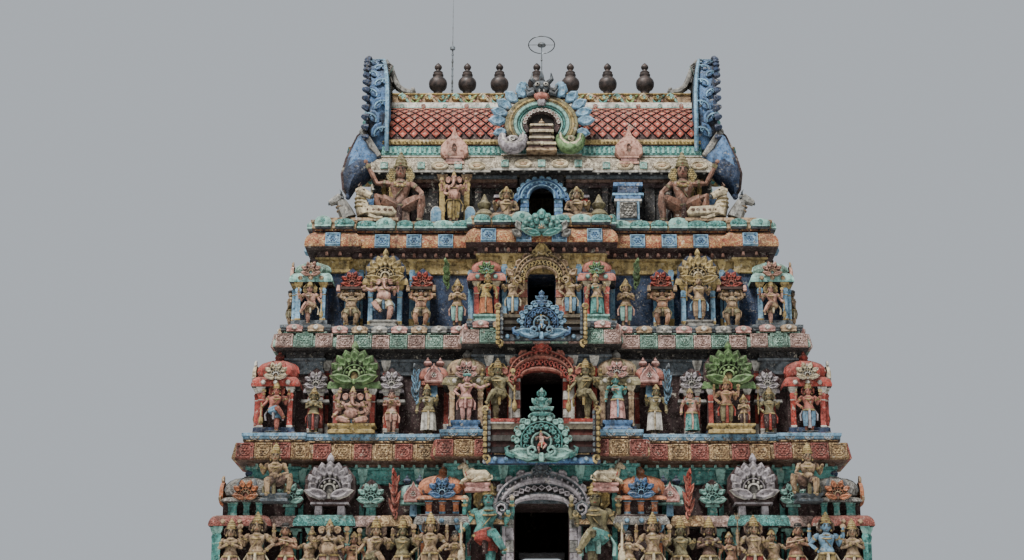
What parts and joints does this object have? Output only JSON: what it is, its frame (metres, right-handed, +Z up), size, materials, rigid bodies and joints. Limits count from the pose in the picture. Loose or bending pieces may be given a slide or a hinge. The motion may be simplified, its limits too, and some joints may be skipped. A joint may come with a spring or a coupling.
{
  "type": "gopuram temple gateway tower",
  "caption": "Stepped temple gateway tower: granite gateway storey with a through passage, painted brick and stucco storeys, barrel roof with horseshoe gables and a row of finials.",
  "frame": {"origin": "on the ground at the middle of the tower's foot", "axes": "+Z up, +X to the right along the long side seen from the street, -Y towards the street"},
  "size_m": [26.1, 17.3, 36.4],
  "materials": {
    "granite": "matte",
    "wall_stucco": "matte",
    "maroon_stucco": "matte",
    "red_stucco": "matte",
    "pink_stucco": "matte",
    "ochre_stucco": "matte",
    "cream_stucco": "matte",
    "teal_stucco": "matte",
    "blue_stucco": "matte",
    "green_stucco": "matte",
    "figure_stucco": "matte",
    "bronze": "satin",
    "grey_steel": "satin"
  },
  "bodies": {
    "root": {"back_dormer": "teal_stucco", "back_left_bulls": "cream_stucco", "back_left_giant": "figure_stucco", "back_right_bulls": "cream_stucco", "back_right_giant": "figure_stucco", "base_cornice": "granite", "base_wall_left": "granite", "base_wall_right": "granite", "front_dormer": "teal_stucco", "front_left_bulls": "cream_stucco", "front_left_giant": "figure_stucco", "front_right_bulls": "cream_stucco", "front_right_giant": "figure_stucco", "gateway_ceiling": "granite", "gateway_frame_back": "granite", "gateway_frame_front": "granite", "kalasha_1": "bronze", "kalasha_2": "bronze", "kalasha_3": "bronze", "kalasha_4": "bronze", "kalasha_5": "bronze", "kalasha_6": "bronze", "kalasha_7": "bronze", "left_gable_crest": "blue_stucco", "lightning_mast": "grey_steel", "neck_back_wall": "maroon_stucco", "neck_front_wall": "maroon_stucco", "neck_left_wall": "maroon_stucco", "neck_right_wall": "maroon_stucco", "plinth_left": "granite", "plinth_right": "granite", "right_gable_crest": "blue_stucco", "ring_lamp": "grey_steel", "roof_eave": "cream_stucco", "roof_ridge": "ochre_stucco", "storey_1_back_wall": "wall_stucco", "storey_1_cornice": "ochre_stucco", "storey_1_front_wall": "wall_stucco", "storey_1_left_wall": "wall_stucco", "storey_1_right_wall": "wall_stucco", "storey_2_back_shrine": "teal_stucco", "storey_2_back_wall": "wall_stucco", "storey_2_cornice": "teal_stucco", "storey_2_front_shrine": "teal_stucco", "storey_2_front_wall": "wall_stucco", "storey_2_left_wall": "wall_stucco", "storey_2_right_wall": "wall_stucco", "storey_3_back_shrine": "blue_stucco", "storey_3_back_wall": "wall_stucco", "storey_3_cornice": "red_stucco", "storey_3_front_shrine": "blue_stucco", "storey_3_front_wall": "wall_stucco", "storey_3_left_wall": "wall_stucco", "storey_3_right_wall": "wall_stucco", "vault_roof": "red_stucco"}
  },
  "joints": []
}
